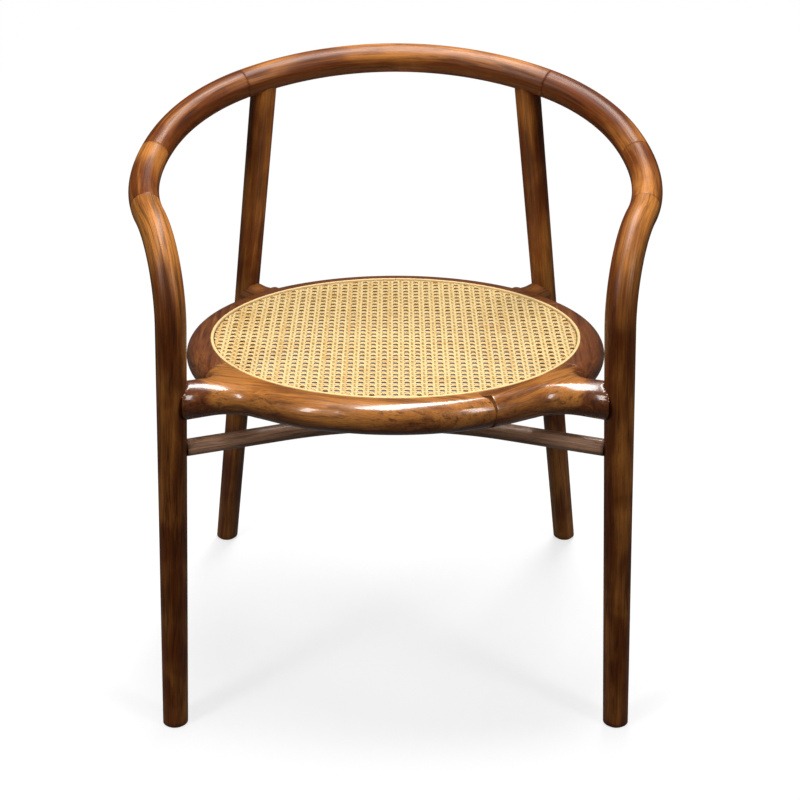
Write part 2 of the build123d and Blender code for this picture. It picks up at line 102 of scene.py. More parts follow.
FRAME_EDGE_SOFTNESS = 0.08
LUG_THICKENING = 3.5         # half of what a front lug gains in thickness towards the leg
CANE_PAIR_HALF = 2.35        # half the distance between the two strands of a pair
CANE_EDGE = GROOVE_RADIUS - 0.15
GROOVE_DEPTH = 8.0
BEAD_DEPTH = 7.6
FRAME_CORNER = 0.8           # how far the frame's inner corners are cut back


# ---------------------------------------------------------------- stage, m
FOCAL_LENGTH = 1989.93       # in pixels of a picture 800 wide
PICTURE_WIDTH = 800.0
PICTURE_SHIFT = 4.5
EYE = (0.0, (SEAT_CENTRE_Y - 2120.9) * MM, 1.4261)
EYE_DIP = 0.4661             # radians below the level
FLOOR_HALF = 6.0
SHADOW_START, SHADOW_END = 0.47, 0.64  # the floor goes from taking shadow to plain white here
# name, place, what it looks at, width and length, watts
SOFTBOXES = (
    ("overhead_softbox", (0.06, 0.25, 2.3), (0.0, 0.1, 0.4), (0.5, 2.0), 52.0),
    ("left_softbox", (-1.6, -1.7, 1.9), (0, 0, 0.5), (0.45, 1.1), 18.0),
    ("right_softbox", (1.7, -1.6, 1.9), (0, 0, 0.5), (0.45, 1.1), 16.0),
)
WHITE = (1, 1, 1, 1)


# ---------------------------------------------------------------- numbers
def unit(v):
    """Vectors of length one."""
    v = np.asarray(v, float)
    return v / np.linalg.norm(v, axis=-1, keepdims=True)


def smooth(t):
    """Ease from 0 to 1 with flat ends: 3t^2 - 2t^3."""
    t = np.clip(t, 0.0, 1.0)
    return t * t * (3 - 2 * t)


SEAT_ORIGIN = np.array([0.0, SEAT_CENTRE_Y, SEAT_HEIGHT])
SEAT_AXES = np.array([
    [1.0, 0.0, 0.0],
    [0.0, math.cos(SEAT_TILT), -math.sin(SEAT_TILT)],
    [0.0, math.sin(SEAT_TILT), math.cos(SEAT_TILT)],
])
HOOP_AXES = np.array([
    [1.0, 0.0, 0.0],
    [0.0, math.cos(HOOP_SLOPE), math.sin(HOOP_SLOPE)],
    [0.0, -math.sin(HOOP_SLOPE), math.cos(HOOP_SLOPE)],
])


def from_seat(local):
    """Points given in the plane of the seat, in the chair's own axes."""
    return SEAT_ORIGIN + np.asarray(local, float) @ SEAT_AXES


def to_seat(points):
    """The chair's points in the plane of the seat."""
    return (np.asarray(points, float) - SEAT_ORIGIN) @ SEAT_AXES.T


def at_height(foot, top, height):
    """Point of a straight leg's axis at a height."""
    return foot + (top - foot) * (height - foot[2]) / (top[2] - foot[2])


def crossing(low, high, ahead, times):
    """Where a field turns over along many lines at once: the span from low to high is halved."""
    for _ in range(times):
        middle = (low + high) / 2
        further = ahead(middle)
        low, high = np.where(further, middle, low), np.where(further, high, middle)
    return low, high


# ---------------------------------------------------------------- centre lines of the hoop
def hoop_at(angle):
    """Points of the back by angle from the middle: crest arc, then a tighter arc round the side."""
    angle = np.abs(np.atleast_1d(np.asarray(angle, float)))
    turn, beta = np.radians(angle), math.radians(CREST_HALF)
    crest = np.stack([CREST_RADIUS * np.sin(turn), CREST_RADIUS * (np.cos(turn) - 1)], -1)
    centre = np.array([
        (CREST_RADIUS - ARM_RADIUS) * math.sin(beta),
        (CREST_RADIUS - ARM_RADIUS) * math.cos(beta) - CREST_RADIUS,
    ])
    side = centre + ARM_RADIUS * np.stack([np.sin(turn), np.cos(turn)], -1)
    flat = np.where((angle <= CREST_HALF)[:, None], crest, side)
    return HOOP_ORIGIN + flat @ HOOP_AXES[:2]


def hoop_direction(angle):
    """Direction of the hoop there, away from the middle."""
    turn = np.radians(np.atleast_1d(np.asarray(angle, float)))
    return np.stack([np.cos(turn), -np.sin(turn)], -1) @ HOOP_AXES[:2]


def meeting_point(start, start_way, end, end_way, balance):
    """Point and direction where two arcs meet in one smooth curve (a biarc)."""
    chord = end - start
    reach = start_way * balance + end_way
    a = reach @ reach - (1 + balance) ** 2
    b = -2 * chord @ reach
    handle = (-b - math.sqrt(b * b - 4 * a * chord @ chord)) / (2 * a)
    first = start + start_way * balance * handle
    second = end - end_way * handle
    return (first + second * balance) / (1 + balance), unit(second - first)


def arc(start, way, end, count):
    """Arc from start to end that leaves along way: P + R (sin a T + (1 - cos a) N)."""
    chord = end - start
    along = chord @ way
    normal = unit(chord - along * way)
    across = chord @ normal
    radius = (chord @ chord) / (2 * across)
    turn = np.linspace(0, 2 * math.atan2(across, along), count)[:, None]
    points = start + radius * (np.sin(turn) * way + (1 - np.cos(turn)) * normal)
    return points, np.cos(turn) * way + np.sin(turn) * normal


def line(start, end, count):
    """Straight run from start to end."""
    t = np.linspace(0, 1, count)[:, None]
    return start + (end - start) * t, np.repeat(unit(end - start)[None], count, 0)


def chain(*runs):
    """Runs one after the other, the shared points once."""
    points = [runs[0][0]] + [r[0][1:] for r in runs[1:]]
    ways = [runs[0][1]] + [r[1][1:] for r in runs[1:]]
    return np.concatenate(points), unit(np.concatenate(ways))


FRONT_LEG = np.array([
    FRONT_LEG_RADIUS * math.cos(FRONT_LEG_ANGLE),
    FRONT_LEG_RADIUS * math.sin(FRONT_LEG_ANGLE),
    FRAME_MID,
])
FRONT_SEAT = from_seat(FRONT_LEG)
FRONT_FOOT = np.array([FRONT_SEAT[0] + FRONT_LEG_SPLAY, FRONT_SEAT[1] + FRONT_LEG_RAKE, 0.0])
FRONT_AXIS = unit(FRONT_SEAT - FRONT_FOOT)
BEND_END = at_height(FRONT_FOOT, FRONT_SEAT, BEND_END_HEIGHT)
ARM_END_POINT = hoop_at(ARM_END)[0]
ARM_END_WAY = hoop_direction(ARM_END)[0]
ARM_JOINT, ARM_JOINT_WAY = meeting_point(
    ARM_END_POINT, ARM_END_WAY, BEND_END, -FRONT_AXIS, BEND_BALANCE
)
REAR_TOP = hoop_at(REAR_TOP_ANGLE)[0]
REAR_AXIS = unit(REAR_TOP - REAR_FOOT)
REAR_LEG = at_height(to_seat(REAR_FOOT), to_seat(REAR_TOP), FRAME_MID)


def levelling_arc(start_share, end_share, count):
    """Part of the arc from the end of the arm's round to the bend, by shares of its turn."""
    points, ways = arc(ARM_END_POINT, ARM_END_WAY, ARM_JOINT, 1201)
    pick = np.round(np.linspace(start_share, end_share, count) * 1200).astype(int)
    return points[pick], ways[pick]


# ---------------------------------------------------------------- meshes
class Skin:
    """Shells gathered into one mesh, with the grain's own coordinates for the material.

    Each point of the mesh carries grain (metres: along the grain, and two across it), edge (1 at
    a rim or a joint, or on a strand of cane where it takes painted shade, 0 away from it) and
    shade (how much lighter it is than the rest, painted shade and painted highlights included).
    """

    def __init__(self):
        self.points, self.grain, self.edge, self.shade = [], [], [], []
        self.quads, self.rings, self.count = [], [], 0

    def add(self, grid, grain, edge=0.0, shade=0.0, turned=False):
        """A closed shell from a grid of points: rows along it, columns all the way round.

        Several such grids may stand in front of each other.  One flat face closes the first row
        and one the last.  turned reverses every face, for a shape that was mirrored.
        """
        grid = grid if grid.ndim == 4 else grid[None]
        shape = grid.shape[:3]
        index = self.count + np.arange(grid.size // 3).reshape(shape)
        right = np.roll(index, -1, 2)
        quads = np.stack([index[:, :-1], right[:, :-1], right[:, 1:], index[:, 1:]], -1)
        way = -1 if turned else 1
        self.quads.append(quads[..., ::way].reshape(-1, 4))
        self.rings += [*index[:, 0, ::-way], *index[:, -1, ::way]]
        self.points.append(grid.reshape(-1, 3))
        self.grain.append(grain.reshape(-1, 3))
        self.edge.append(np.broadcast_to(edge, shape).ravel())
        self.shade.append(np.broadcast_to(shade, shape).ravel())
        self.count += index.size

    def make(self, name, crease):
        """The finished object, in metres, at the origin, sharp where it turns by over crease."""
        quads = np.concatenate(self.quads)
        corners = np.concatenate([quads.ravel(), *self.rings]).astype(np.int32)
        sizes = np.array([4] * len(quads) + [len(ring) for ring in self.rings], np.int32)
        mesh = bpy.data.meshes.new(name)
        mesh.vertices.add(self.count)
        points = np.concatenate(self.points) * MM
        mesh.vertices.foreach_set("co", points.astype(np.float32).ravel())
        mesh.loops.add(len(corners))
        mesh.loops.foreach_set("vertex_index", corners)
        mesh.polygons.add(len(sizes))
        starts = np.concatenate([[0], np.cumsum(sizes)[:-1]]).astype(np.int32)
        mesh.polygons.foreach_set("loop_start", starts)
        mesh.update(calc_edges=True)
        for label, kind, field, values in (
            ("grain", "FLOAT_VECTOR", "vector", np.concatenate(self.grain) * MM),
            ("edge", "FLOAT", "value", np.concatenate(self.edge)),
            ("shade", "FLOAT", "value", np.concatenate(self.shade)),
        ):
            layer = mesh.attributes.new(label, kind, "POINT")
            layer.data.foreach_set(field, values.astype(np.float32).ravel())
        mesh.polygons.foreach_set("use_smooth", np.ones(len(sizes), bool))
        mesh.set_sharp_from_angle(angle=math.radians(crease))
        piece = bpy.data.objects.new(name, mesh)
        bpy.context.scene.collection.objects.link(piece)
        return piece


def place(skin, node, surface, material, crease=50.0):
    """Make a piece, named for its CAD node and its surface, and put it in the node's place."""
    piece = skin.make(f"{node}_{surface}", crease)
    piece.data.materials.append(material)
    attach(piece, "root")
    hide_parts(node)


REFERENCE = unit(np.array([0.3, 1.0, -1.0]))  # never along any run of the hoop or a leg


def round_frame(ways):
    """Two directions across a run: the reference less its part along the run, and its normal."""
    u = unit(REFERENCE - (ways @ REFERENCE)[:, None] * ways)
    return u, np.cross(ways, u)


def arc_lengths(points):
    """Distance along the run from its start."""
    steps = np.linalg.norm(np.diff(points, axis=0), axis=1)
    return np.concatenate([[0.0], np.cumsum(steps)])


def rounded_ends(points, ways, radii):
    """The same run with three close rings at each end, where the edge is broken by a hair.

    The rings' radius falls along a quarter circle: r - e (1 - sin a), at e (1 - cos a).
    """
    turn = np.radians([0.0, 30.0, 60.0])
    inset, sink = EDGE_SOFTNESS * (1 - np.sin(turn)), EDGE_SOFTNESS * (1 - np.cos(turn))
    start = points[0] + ways[0] * sink[:, None]
    end = points[-1] - ways[-1] * sink[::-1, None]
    return (
        np.concatenate([start, points[1:-1], end]),
        np.concatenate([np.repeat(ways[:1], 3, 0), ways[1:-1], np.repeat(ways[-1:], 3, 0)]),
        np.concatenate([radii[0] - inset, radii[1:-1], radii[-1] - inset[::-1]]),
    )


def tube(run, radii, offset, around=64, side=1, tone=None, level=False):
    """Round rod: P(s) + r(s) (cos a U + sin a V), its grain running along it.

    offset moves the grain's figure on, so that no two rods share it.  tone gives the shade by
    distance along the rod, and the underside gets painted shade, darker towards the bottom.
    level shears the last 40 mm along the rod until its end face lies flat for the floor.
    """
    points, ways, radii = rounded_ends(*run, np.broadcast_to(radii, len(run[0])))
    u, v = round_frame(ways)
    turn = np.linspace(0, 2 * math.pi, around, endpoint=False)
    ring = np.cos(turn)[None, :, None] * u[:, None] + np.sin(turn)[None, :, None] * v[:, None]
    grid = points[:, None] + radii[:, None, None] * ring
    along = arc_lengths(points)
    if level:
        share = smooth((along - along[-1] + 40.0) / 40.0) / ways[:, 2]
        grid = grid - (share[:, None] * radii[:, None] * ring[..., 2])[..., None] * ways[:, None]
    grid[..., 0] *= side
    grain = np.stack(np.broadcast_arrays(
        along[:, None] + offset,
        radii[:, None] * np.cos(turn) + 3 * offset,
        radii[:, None] * np.sin(turn),
    ), -1)
    rim = np.minimum(along, along[-1] - along)
    # painted shade: the underside of the rod is darkened towards the bottom
    shade = (tone(along) if tone else 0 * along)[:, None] - 0.5 * smooth(0.45 - ring[..., 2])
    skin = Skin()
    skin.add(grid, grain, np.exp(-rim / 0.3)[:, None], shade, turned=side < 0)
    return skin


# ---------------------------------------------------------------- seat frame as a field
def soft_least(a, b, blend):
    """Smaller of two fields, with a fillet of about blend where they cross."""
    h = np.clip(0.5 + 0.5 * (b - a) / blend, 0, 1)
    return b * (1 - h) + a * h - blend * h * (1 - h)


def soft_most(a, b, blend):
    """Greater of two fields, with its corner rounded."""
    return -soft_least(-a, -b, blend)


def station_curve(x, places, values):
    """Cubic through the stations with the mean slope at each (Catmull-Rom on uneven steps)."""
    slope = np.gradient(values, places)
    i = np.clip(np.searchsorted(places, x) - 1, 0, len(places) - 2)
    h = places[i + 1] - places[i]
    t = np.clip((x - places[i]) / h, 0, 1)
    return (
        values[i] * (2 * t**3 - 3 * t**2 + 1)
        + values[i + 1] * (3 * t**2 - 2 * t**3)
        + slope[i] * h * (t**3 - 2 * t**2 + t)
        + slope[i + 1] * h * (t**3 - t**2)
    )


LEG_FOOT, LEG_TOP = to_seat(FRONT_FOOT), to_seat(BEND_END)
CORE = np.array([FRAME_OUTER - 16.5, FRAME_MID])  # inside every section of the frame
LUG_END = FRONT_LEG[0] - 12.8
# plan of the right front lug: stations from the frame to the leg
LUG_FRONT = np.array([
    [60.0, -237.1], [103.0, -224.3], [129.8, -210.1], [152.5, -195.4], [166.3, -186.9],
    [180.8, -183.0], [200.6, -184.2], [220.1, -189.7], [236.0, -199.0],
])
LUG_BACK = np.array([
    [170.0, -50.0], [203.0, -124.0], [212.5, -137.5], [220.0, -143.8], [228.0, -149.0],
    [240.0, -154.0],
])


def front_edge(x):
    """Front edge of the frame in plan: the circle, then the line that swells to the leg."""
    circle = -np.sqrt(np.maximum(FRAME_OUTER**2 - x * x, 1.0))
    return np.where(x < LUG_FRONT[0, 0], circle, station_curve(x, *LUG_FRONT.T))


def back_edge(x):
    """Back edge of the lug in plan, from the notch to the leg."""
    return station_curve(x, *LUG_BACK.T)


def off_line(edge, x, y):
    """Distance from a plan curve y = edge(x): the offset along y by the cosine of the slope."""
    slope = edge(x + 0.5) - edge(x - 0.5)
    return (y - edge(x)) / np.sqrt(1 + slope * slope)


def plan_field(x, y):
    """Distance out of the frame's outline in plan, with the notch behind the lug filleted."""
    disc = np.hypot(x, y) - FRAME_OUTER
    behind = soft_least(disc, off_line(back_edge, x, y), 11.0)
    return np.maximum(-off_line(front_edge, x, y), behind)


def cone_field(p, foot, top, foot_radius, top_radius):
    """Distance out of a straight tapered leg."""
    way = unit(top - foot)
    along = (p - foot) @ way
    off = np.linalg.norm(p - foot - along[..., None] * way, axis=-1)
    return off - foot_radius - (top_radius - foot_radius) * along / np.linalg.norm(top - foot)


def frame_field(r, theta, z, lug_side):
    """Distance out of the frame: a bull nose of half height h round its outline in plan.

    hypot(max(d + h, 0), z - mid) - h.  Towards the leg h grows, and there the lug is cut round
    the leg.
    """
    half = np.full(np.shape(r), FRAME_THICKNESS / 2)
    if not lug_side:
        return np.hypot(np.maximum(r - FRAME_OUTER + half, 0), z - FRAME_MID) - half
    x, y = lug_side * r * np.cos(theta), r * np.sin(theta)
    swell = smooth((x - 186.0) / 42.0) * smooth((-116.0 - y) / 16.0)
    half = half + LUG_THICKENING * swell
    plan = plan_field(x, y)
    plate = np.hypot(np.maximum(plan + half, 0), z - FRAME_MID + 0.5 * swell) - half
    plate = soft_most(plate, x - LUG_END, 3.0)
    p = np.stack([x, y, z], -1)
    leg = cone_field(p, LEG_FOOT, LEG_TOP, FRONT_FOOT_RADIUS, HOOP_RADIUS)
    return soft_most(plate, FIT - leg, 0.5)


def frame_outline(theta, fan, lug_side):
    """Outer contour of the frame's section at each angle.

    Rays leave the section's core in a fan, and each ends where the field turns from in to out:
    coarse steps find the first crossing, halving sharpens it.
    """
    dr, dz = np.cos(fan)[None, :], np.sin(fan)[None, :]

    def inside(reach):
        r, z = CORE[0] + dr * reach, CORE[1] + dz * reach
        return frame_field(r, theta, z, lug_side) < 0

    low = np.zeros(theta.shape)
    open_ray = np.ones(theta.shape, bool)
    step = 1.5
    for reach in step * np.arange(1, 61):
        open_ray &= inside(np.full(theta.shape, reach))
        low = np.where(open_ray, reach, low)
        if not open_ray.any():
            break
    low, high = crossing(low, low + step, inside, 22)
    reach = (low + high) / 2
    return CORE[0] + dr * reach, CORE[1] + dz * reach


def frame_rows(start, end, lug_side):
    """Angles of the sections: close together where the lug's back edge leaves the circle."""
    if not lug_side:
        return np.linspace(start, end, int((end - start) / 0.8))
    coarse = np.linspace(start, end, int((end - start) / 0.24))
    fold = -33.0 if lug_side > 0 else 213.0
    fine = fold + np.linspace(-2.6, 2.6, 131)
    return np.sort(np.concatenate([coarse, fine[(fine > start + 0.1) & (fine < end - 0.1)]]))


def frame_piece(skin, start, end, lug_side, stepped):
    """One sawn piece of the seat frame, from joint to joint, with lip, groove and nose.

    stepped is -1 or 1 where the piece starts or ends at the front joint, whose outer half lies
    a step further on.
    """
    gap = math.degrees(FRAME_JOINT_LINE / FRAME_OUTER)
    sweep = frame_rows(start, end, lug_side)
    sweep = np.concatenate([[start + gap, start + 8 * gap], sweep[2:-2],
                            [end - 8 * gap, end - gap]])
    groove_outer = GROOVE_RADIUS + GROOVE_WIDTH
    inner = np.array([
        (FRAME_INNER + FRAME_CORNER, -FRAME_THICKNESS),
        (FRAME_INNER, -FRAME_THICKNESS + FRAME_CORNER),
        (FRAME_INNER, FRAME_MID),
        (FRAME_INNER, -LIP_DROP - FRAME_CORNER),
        (FRAME_INNER + FRAME_CORNER, -LIP_DROP),
        (GROOVE_RADIUS, -LIP_DROP),
        (GROOVE_RADIUS, -GROOVE_DEPTH),
        (groove_outer, -GROOVE_DEPTH),
        (groove_outer, -0.5),
    ])
    first = math.atan2(-CORE[1], groove_outer + 0.4 - CORE[0])
    last = math.atan2(-FRAME_THICKNESS - CORE[1], FRAME_INNER + 2 * FRAME_CORNER - CORE[0])
    fan = np.linspace(first, last, 96 if lug_side else 72)
    if lug_side:
        fan = np.sort(np.concatenate([fan, np.radians(np.linspace(-24.0, 24.0, 60))]))[::-1]
    outer_half = np.concatenate([np.zeros(len(inner)), np.abs(fan) < math.radians(82.0)])
    near = {1: np.exp(-((end - sweep) / 2.5) ** 2), -1: np.exp(-((sweep - start) / 2.5) ** 2),
            0: 0 * sweep}[stepped]
    theta = np.radians(sweep[:, None] + FRONT_STEP * outer_half * near[:, None])
    r, z = frame_outline(theta[:, len(inner):], fan, lug_side)
    shape = (len(sweep), len(inner))
    r = np.concatenate([np.broadcast_to(inner[:, 0], shape), r], 1)
    z = np.concatenate([np.broadcast_to(inner[:, 1], shape), z], 1)
    shrink = np.zeros((len(sweep), 1))
    shrink[[0, -1]] = FRAME_EDGE_SOFTNESS
    pull = shrink / np.maximum(np.hypot(r - CORE[0], z - CORE[1]), 1)
    r, z = r - (r - CORE[0]) * pull, z - (z - CORE[1]) * pull
    x, y = r * np.cos(theta), r * np.sin(theta)
    middle = math.radians((start + end) / 2)
    along = -x * math.sin(middle) + y * math.cos(middle)
    out = x * math.cos(middle) + y * math.sin(middle)
    grain = np.stack([along + 11 * start, out, z], -1)
    edge = 0.4 * np.exp(-np.minimum(theta - theta[0], theta[-1] - theta) * r / 0.2)
    # the lower half of the frame darkens towards the bottom: painted shade
    tone = drift(np.degrees(theta) * 4.0) - 0.03 - 0.34 * smooth((FRAME_MID - z) / 15.0)
    if lug_side:
        # painted highlight: amber where ring and lug meet on top and along the upper front; painted
        # shade under the lug; darker towards the leg
        off = np.abs(x)
        web = np.exp(-(((off - 188.0) / 24.0) ** 2) - ((y + 156.0) / 22.0) ** 2)
        front = 0.22 * smooth((-y - 185.0) / 40.0) * smooth((z + 26.0) / 14.0)
        lug = 0.5 * smooth((off - 196.0) / 20.0)
        under = 0.6 * smooth((off - 170.0) / 26.0) * smooth((FRAME_MID + 2 - z) / 10.0)
        tone = tone + 1.1 * web + front - (lug + under) * (1 - web)
    # rows run along increasing angle, columns from the underside inwards, up and outwards
    skin.add(from_seat(np.stack([x, y, z], -1)), grain, edge, tone)


def rear_lug(skin, side):
    """Short round arm from the frame to a rear leg, flared at both ends and cut round the leg.

    Its radius is a + b exp(-distance from the frame / c), each line along it ends on the leg.
    """
    reach = math.hypot(REAR_LEG[0], REAR_LEG[1])
    way = np.array([REAR_LEG[0], REAR_LEG[1], 0.0]) / reach
    across = np.array([-way[1], way[0], 0.0])
    turn = np.linspace(0, 2 * math.pi, 72, endpoint=False)
    foot, top = to_seat(REAR_FOOT), to_seat(REAR_TOP)
    start = FRAME_OUTER - 12.0

    def radius(distance):
        off = distance - FRAME_OUTER
        return 13.6 + 4.2 * np.exp(-np.maximum(off + 5.0, 0) / 6.5) + 0.9 * smooth((off - 16) / 20)

    def at(distance):
        ring = np.cos(turn)[:, None] * across + np.sin(turn)[:, None] * np.array([0, 0, 1.0])
        return distance[..., None] * way + radius(distance)[..., None] * ring + [0, 0, FRAME_MID]

    def clear(distance):
        return cone_field(at(distance), foot, top, REAR_FOOT_RADIUS, REAR_TOP_RADIUS) - FIT > 0

    low = crossing(np.full(len(turn), FRAME_OUTER), np.full(len(turn), reach + 2.0), clear, 24)[0]
    distance = start + (low[None] - start) * np.linspace(0, 1, 44)[:, None]
    points = at(distance)
    rim = low[None] - distance
    grain = np.stack([distance + 70.0, points @ across, points[..., 2]], -1)
    points[..., 0] *= side
    skin.add(from_seat(points), grain, np.exp(-rim / 0.5), turned=side < 0)


# ---------------------------------------------------------------- cane
def strand_offsets(diagonal, pitch):
    """Places of the strands across the seat, and which strand of its pair each one is."""
    gap = pitch / math.sqrt(2) if diagonal else pitch
    count = int(CANE_EDGE / gap) + 1
    cells = (np.arange(-count, count) + 0.5) * gap
    if diagonal:
        places, member = cells, np.zeros(len(cells))
    else:
        places = np.concatenate([cells - CANE_PAIR_HALF, cells + CANE_PAIR_HALF])
        member = np.repeat([-1.0, 1.0], len(cells))
    keep = np.abs(places) < CANE_EDGE - 3.0
    return places[keep], member[keep]


# ---------------------------------------------------------------- materials
class Nodes:
    """Short names for building a node tree."""

    def __init__(self, tree):
        self.tree = tree
        tree.nodes.clear()

    def new(self, kind, inputs=None, **settings):
        """A node, its settings and then its inputs by name or number."""
        node = self.tree.nodes.new(kind)
        for key, value in settings.items():
            setattr(node, key, value)
        for key, value in (inputs or {}).items():
            if isinstance(value, bpy.types.NodeSocket):
                self.tree.links.new(value, node.inputs[key])
            else:
                node.inputs[key].default_value = value
        return node

    def carried(self, name, output="Fac"):
        """What the mesh carries: its grain, edge or shade."""
        return self.new("ShaderNodeAttribute", attribute_name=name).outputs[output]

    def math(self, operation, a, b):
        """Two values put together by a sum, a product and the like."""
        return self.new("ShaderNodeMath", {0: a, 1: b}, operation=operation).outputs[0]

    def mix(self, factor, a, b, blend="MIX"):
        """Colour a gone over to colour b by the factor."""
        inputs = {0: factor, 6: a, 7: b}
        return self.new("ShaderNodeMix", inputs, data_type="RGBA", blend_type=blend).outputs[2]

    def span(self, value, low, high, to_low=0.0, to_high=1.0):
        """A value's span carried to another, with flat ends."""
        inputs = {0: value, 1: low, 2: high, 3: to_low, 4: to_high}
        return self.new(
            "ShaderNodeMapRange", inputs, interpolation_type="SMOOTHSTEP"
        ).outputs[0]

    def stretch(self, vector, scale, shift=(0, 0, 0)):
        """The vector with each axis scaled, to draw a pattern out along the grain."""
        inputs = {"Vector": vector, "Scale": scale, "Location": shift}
        return self.new("ShaderNodeMapping", inputs).outputs[0]

    def noise(self, vector, detail, rough=0.55, twist=0.0):
        """Cloudy pattern in the vector's own units."""
        inputs = {"Vector": vector, "Scale": 1.0, "Detail": detail, "Roughness": rough,
                  "Distortion": twist}
        return self.new("ShaderNodeTexNoise", inputs).outputs["Fac"]

    def surface(self, inputs):
        """Principled surface with its inputs, on the material's output."""
        shader = self.new("ShaderNodeBsdfPrincipled", inputs)
        self.new("ShaderNodeOutputMaterial", {"Surface": shader.outputs[0]})


def new_material(name):
    """An empty material, with the short names for its tree."""
    material = bpy.data.materials.new(name)
    material.use_nodes = True
    return material, Nodes(material.node_tree)


def timber_group():
    """Figured hardwood under brown lacquer.

    Long fibres, broad dark streaks, slow bands of amber and brown along the piece, short open
    pores and a darker joint edge, all on the grain's own coordinates.
    """
    group = bpy.data.node_groups.new("lacquered_timber", "ShaderNodeTree")
    for way, kind, names in (
        ("INPUT", "NodeSocketVector", ("Vector",)),
        ("INPUT", "NodeSocketFloat", ("Edge", "Tone", "Warmth", "Streaks")),
        ("INPUT", "NodeSocketColor", ("Amber", "Brown", "Dark")),
        ("OUTPUT", "NodeSocketColor", ("Color",)),
        ("OUTPUT", "NodeSocketFloat", ("Roughness", "Height")),
    ):
        for name in names:
            group.interface.new_socket(name, in_out=way, socket_type=kind)
    n = Nodes(group)
    given = n.new("NodeGroupInput").outputs
    vector = given["Vector"]
    bands = n.noise(n.stretch(vector, (16, 30, 30)), 2.0, 0.5, 0.4)
    figure = n.noise(n.stretch(vector, (7, 150, 150)), 4.0, 0.6, 1.2)
    broad = n.noise(n.stretch(vector, (5, 60, 60), (4, 8, 2)), 2.0, 0.5, 0.6)
    fibres = n.noise(n.stretch(vector, (22, 900, 900)), 3.0, 0.65)
    pores = n.noise(n.stretch(vector, (160, 2600, 2600), (5, 2, 9)), 1.0)
    nicks = n.noise(n.stretch(vector, (240, 420, 420), (1, 6, 3)), 2.0)
    warm = n.math("ADD", n.math("MULTIPLY", bands, 0.45), n.math("MULTIPLY", broad, 0.55))
    warm = n.math("ADD", warm, n.math("SUBTRACT", given["Warmth"], 0.5))
    # Tone from the mesh: the wood's own tone with its painted shade underneath and painted
    # highlights
    warm = n.math("ADD", warm, n.math("MULTIPLY", given["Tone"], 0.5))
    colour = n.mix(n.span(warm, 0.34, 0.70), given["Brown"], given["Amber"])
    streak = n.math("MULTIPLY", n.span(figure, 0.5, 0.66), given["Streaks"])
    colour = n.mix(streak, colour, given["Dark"])
    light = n.math("MULTIPLY", n.span(figure, 0.44, 0.3), 0.35)
    colour = n.mix(light, colour, given["Amber"])
    fine = n.span(fibres, 0.35, 0.7, 1.15, 0.68)
    grey = n.new("ShaderNodeCombineColor", {0: fine, 1: fine, 2: fine}).outputs[0]
    colour = n.mix(1.0, colour, grey, "MULTIPLY")
    pore = n.math("MULTIPLY", n.span(pores, 0.66, 0.74), 0.7)
    pore = n.math("MAXIMUM", pore, n.span(nicks, 0.76, 0.79))
    colour = n.mix(pore, colour, given["Dark"])
    colour = n.mix(n.math("MULTIPLY", given["Edge"], 0.4), colour, given["Dark"])
    rough = n.math("ADD", n.span(figure, 0.3, 0.7, 0.24, 0.32), n.math("MULTIPLY", pore, 0.25))
    height = n.math("SUBTRACT", n.math("MULTIPLY", fibres, 0.25), pore)
    n.new("NodeGroupOutput", {"Color": colour, "Roughness": rough, "Height": height})
    return group


def timber(name, amber, brown, dark, warmth, streaks, gloss):
    """Lacquered wood with its own colours, on the piece's grain attribute."""
    material, n = new_material(name)
    group = bpy.data.node_groups.get("lacquered_timber") or timber_group()
    wood = n.new("ShaderNodeGroup", {
        "Vector": n.carried("grain", "Vector"), "Edge": n.carried("edge"),
        "Tone": n.carried("shade"), "Amber": (*amber, 1), "Brown": (*brown, 1),
        "Dark": (*dark, 1), "Warmth": warmth, "Streaks": streaks,
    }, node_tree=group).outputs
    relief = n.new("ShaderNodeBump", {"Strength": 0.25, "Distance": 0.0002,
                                      "Height": wood["Height"]})
    n.surface({
        "Base Color": wood["Color"],
        "Roughness": n.math("ADD", wood["Roughness"], 0.16 * (1 - gloss)),
        "Normal": relief.outputs[0], "Specular IOR Level": 0.25 + 0.25 * gloss,
        "Coat Weight": 0.12 + 0.68 * gloss, "Coat Roughness": 0.34 - 0.24 * gloss,
    })
    return material


# warmth, streaks, grey lift (painted light, lighter and greyer) and gloss of the wood of each
# family of pieces
WOODS = {
    "hoop": (0.45, 0.62, 0.0, 0.05),
    "leg": (0.46, 0.45, 0.0, 0.1),
    "frame": (0.54, 0.6, 0.0, 1.0),
    "side_frame": (0.32, 0.6, 0.05, 0.5),
    # the stretcher's wood is made lighter and greyer: painted light against the seat's shadow, over
    # its own greyish brown
    "stretcher": (0.68, 0.5, 0.85, 0.5),
}
# lighter greyish brown that the grey lift goes to: painted light over the wood's own greyish tone
GREY_LIFT_COLOUR = (0.62, 0.35, 0.22)


def wood_of(family, finish):
    """The wood of one family of pieces.  Its grey lift takes it towards a lighter, greyish brown:
    painted light together with the wood's own greyish tone.
    """
    warmth, streaks, grey_lift, gloss = WOODS[family]
    amber, brown = (
        tuple(c * (1 - grey_lift) + g * grey_lift for c, g in zip(colour, GREY_LIFT_COLOUR))
        for colour in (finish.amber, finish.brown)
    )
    return timber(f"{family}_timber", amber, brown, finish.dark, warmth, streaks, gloss)


def plain_material(name, colour, roughness, pattern_scale, contrast):
    """A quiet material on Object coordinates: its colour, mottled, and a fine bump."""
    material, n = new_material(name)
    where = n.new("ShaderNodeTexCoord").outputs["Object"]
    mottle = n.noise(n.stretch(where, pattern_scale), 4.0)
    lighter = tuple(min(1.0, c * (1 + contrast)) for c in colour)
    darker = tuple(c * (1 - contrast) for c in colour)
    relief = n.new("ShaderNodeBump", {"Strength": 0.1, "Distance": 0.0003, "Height": mottle})
    n.surface({
        "Base Color": n.mix(mottle, (*darker, 1), (*lighter, 1)),
        "Roughness": n.span(mottle, 0.3, 0.7, roughness - 0.06, roughness + 0.06),
        "Normal": relief.outputs[0],
    })
    return material


